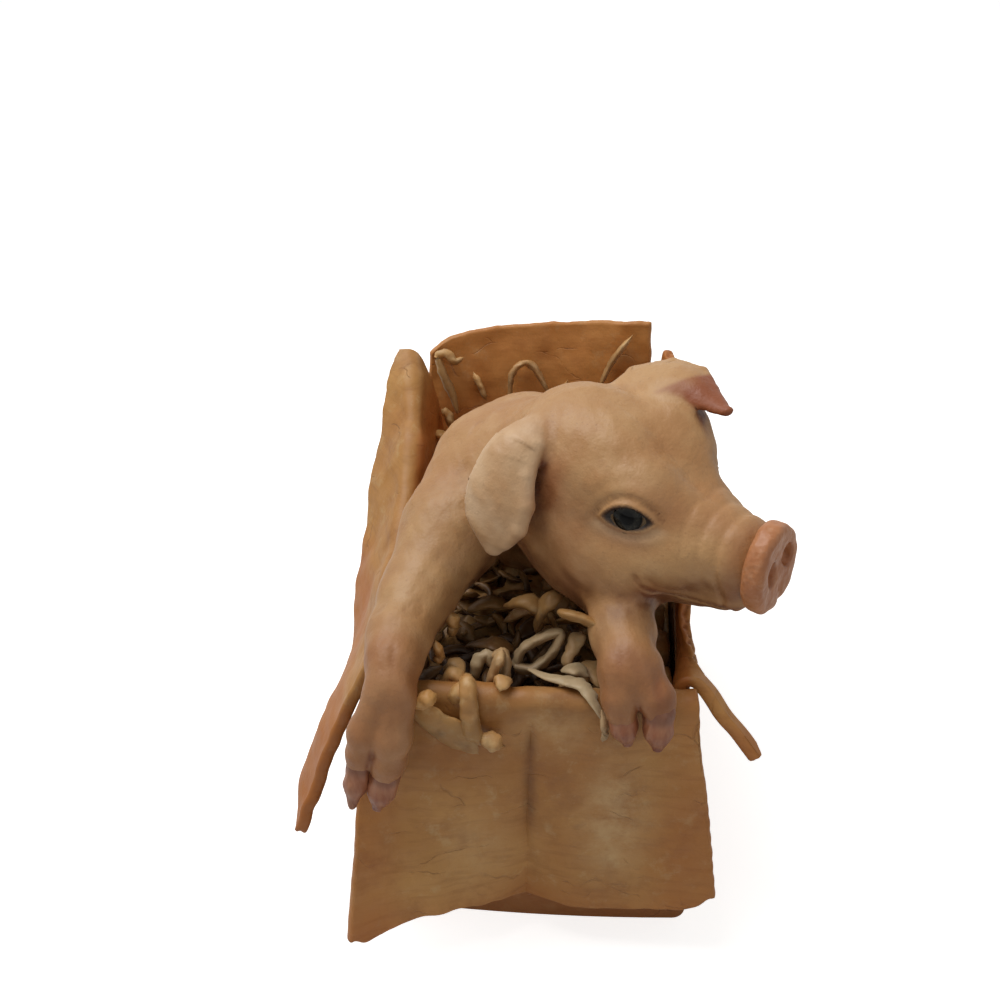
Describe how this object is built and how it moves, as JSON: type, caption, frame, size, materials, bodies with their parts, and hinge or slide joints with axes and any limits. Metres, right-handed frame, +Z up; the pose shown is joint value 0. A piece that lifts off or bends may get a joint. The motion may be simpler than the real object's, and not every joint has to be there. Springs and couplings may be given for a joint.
{
  "type": "pig figurine",
  "caption": "Painted cast piglet climbing out of the front of an open cardboard carton filled with packing shavings, its forelegs hanging over the folded-down front flap.",
  "frame": {"origin": "centre of the carton's flat underside", "axes": "+Z up; -Y towards the front, where the forelegs and the folded-down flap hang; +X towards the viewer's right as seen from the front"},
  "size_m": [0.0984, 0.1264, 0.1136],
  "materials": {
    "card": "satin painted casting, tan washed with brown",
    "shavings": "satin painted casting, cream over brown",
    "skin": "satin painted casting, beige pink",
    "snout": "satin paint, pink brown",
    "hoof": "satin paint, dark red brown",
    "eye": "gloss paint, dark grey"
  },
  "bodies": {
    "root": {"carton_body": "card", "front_flap": "card", "back_flap": "card", "left_flap": "card", "right_flap": "card", "packing_bed": "shavings", "packing_curls_front": "shavings", "packing_curls_back": "shavings", "packing_flakes_front": "shavings", "packing_flakes_back": "shavings", "packing_strands": "shavings", "torso": "skin", "head": "skin", "right_ear": "skin", "left_ear": "skin", "right_foreleg": "skin", "left_foreleg": "skin", "snout_disc": "snout", "right_eye": "eye", "left_eye": "eye", "right_outer_claw": "hoof", "right_inner_claw": "hoof", "left_outer_claw": "hoof", "left_inner_claw": "hoof"}
  },
  "joints": []
}
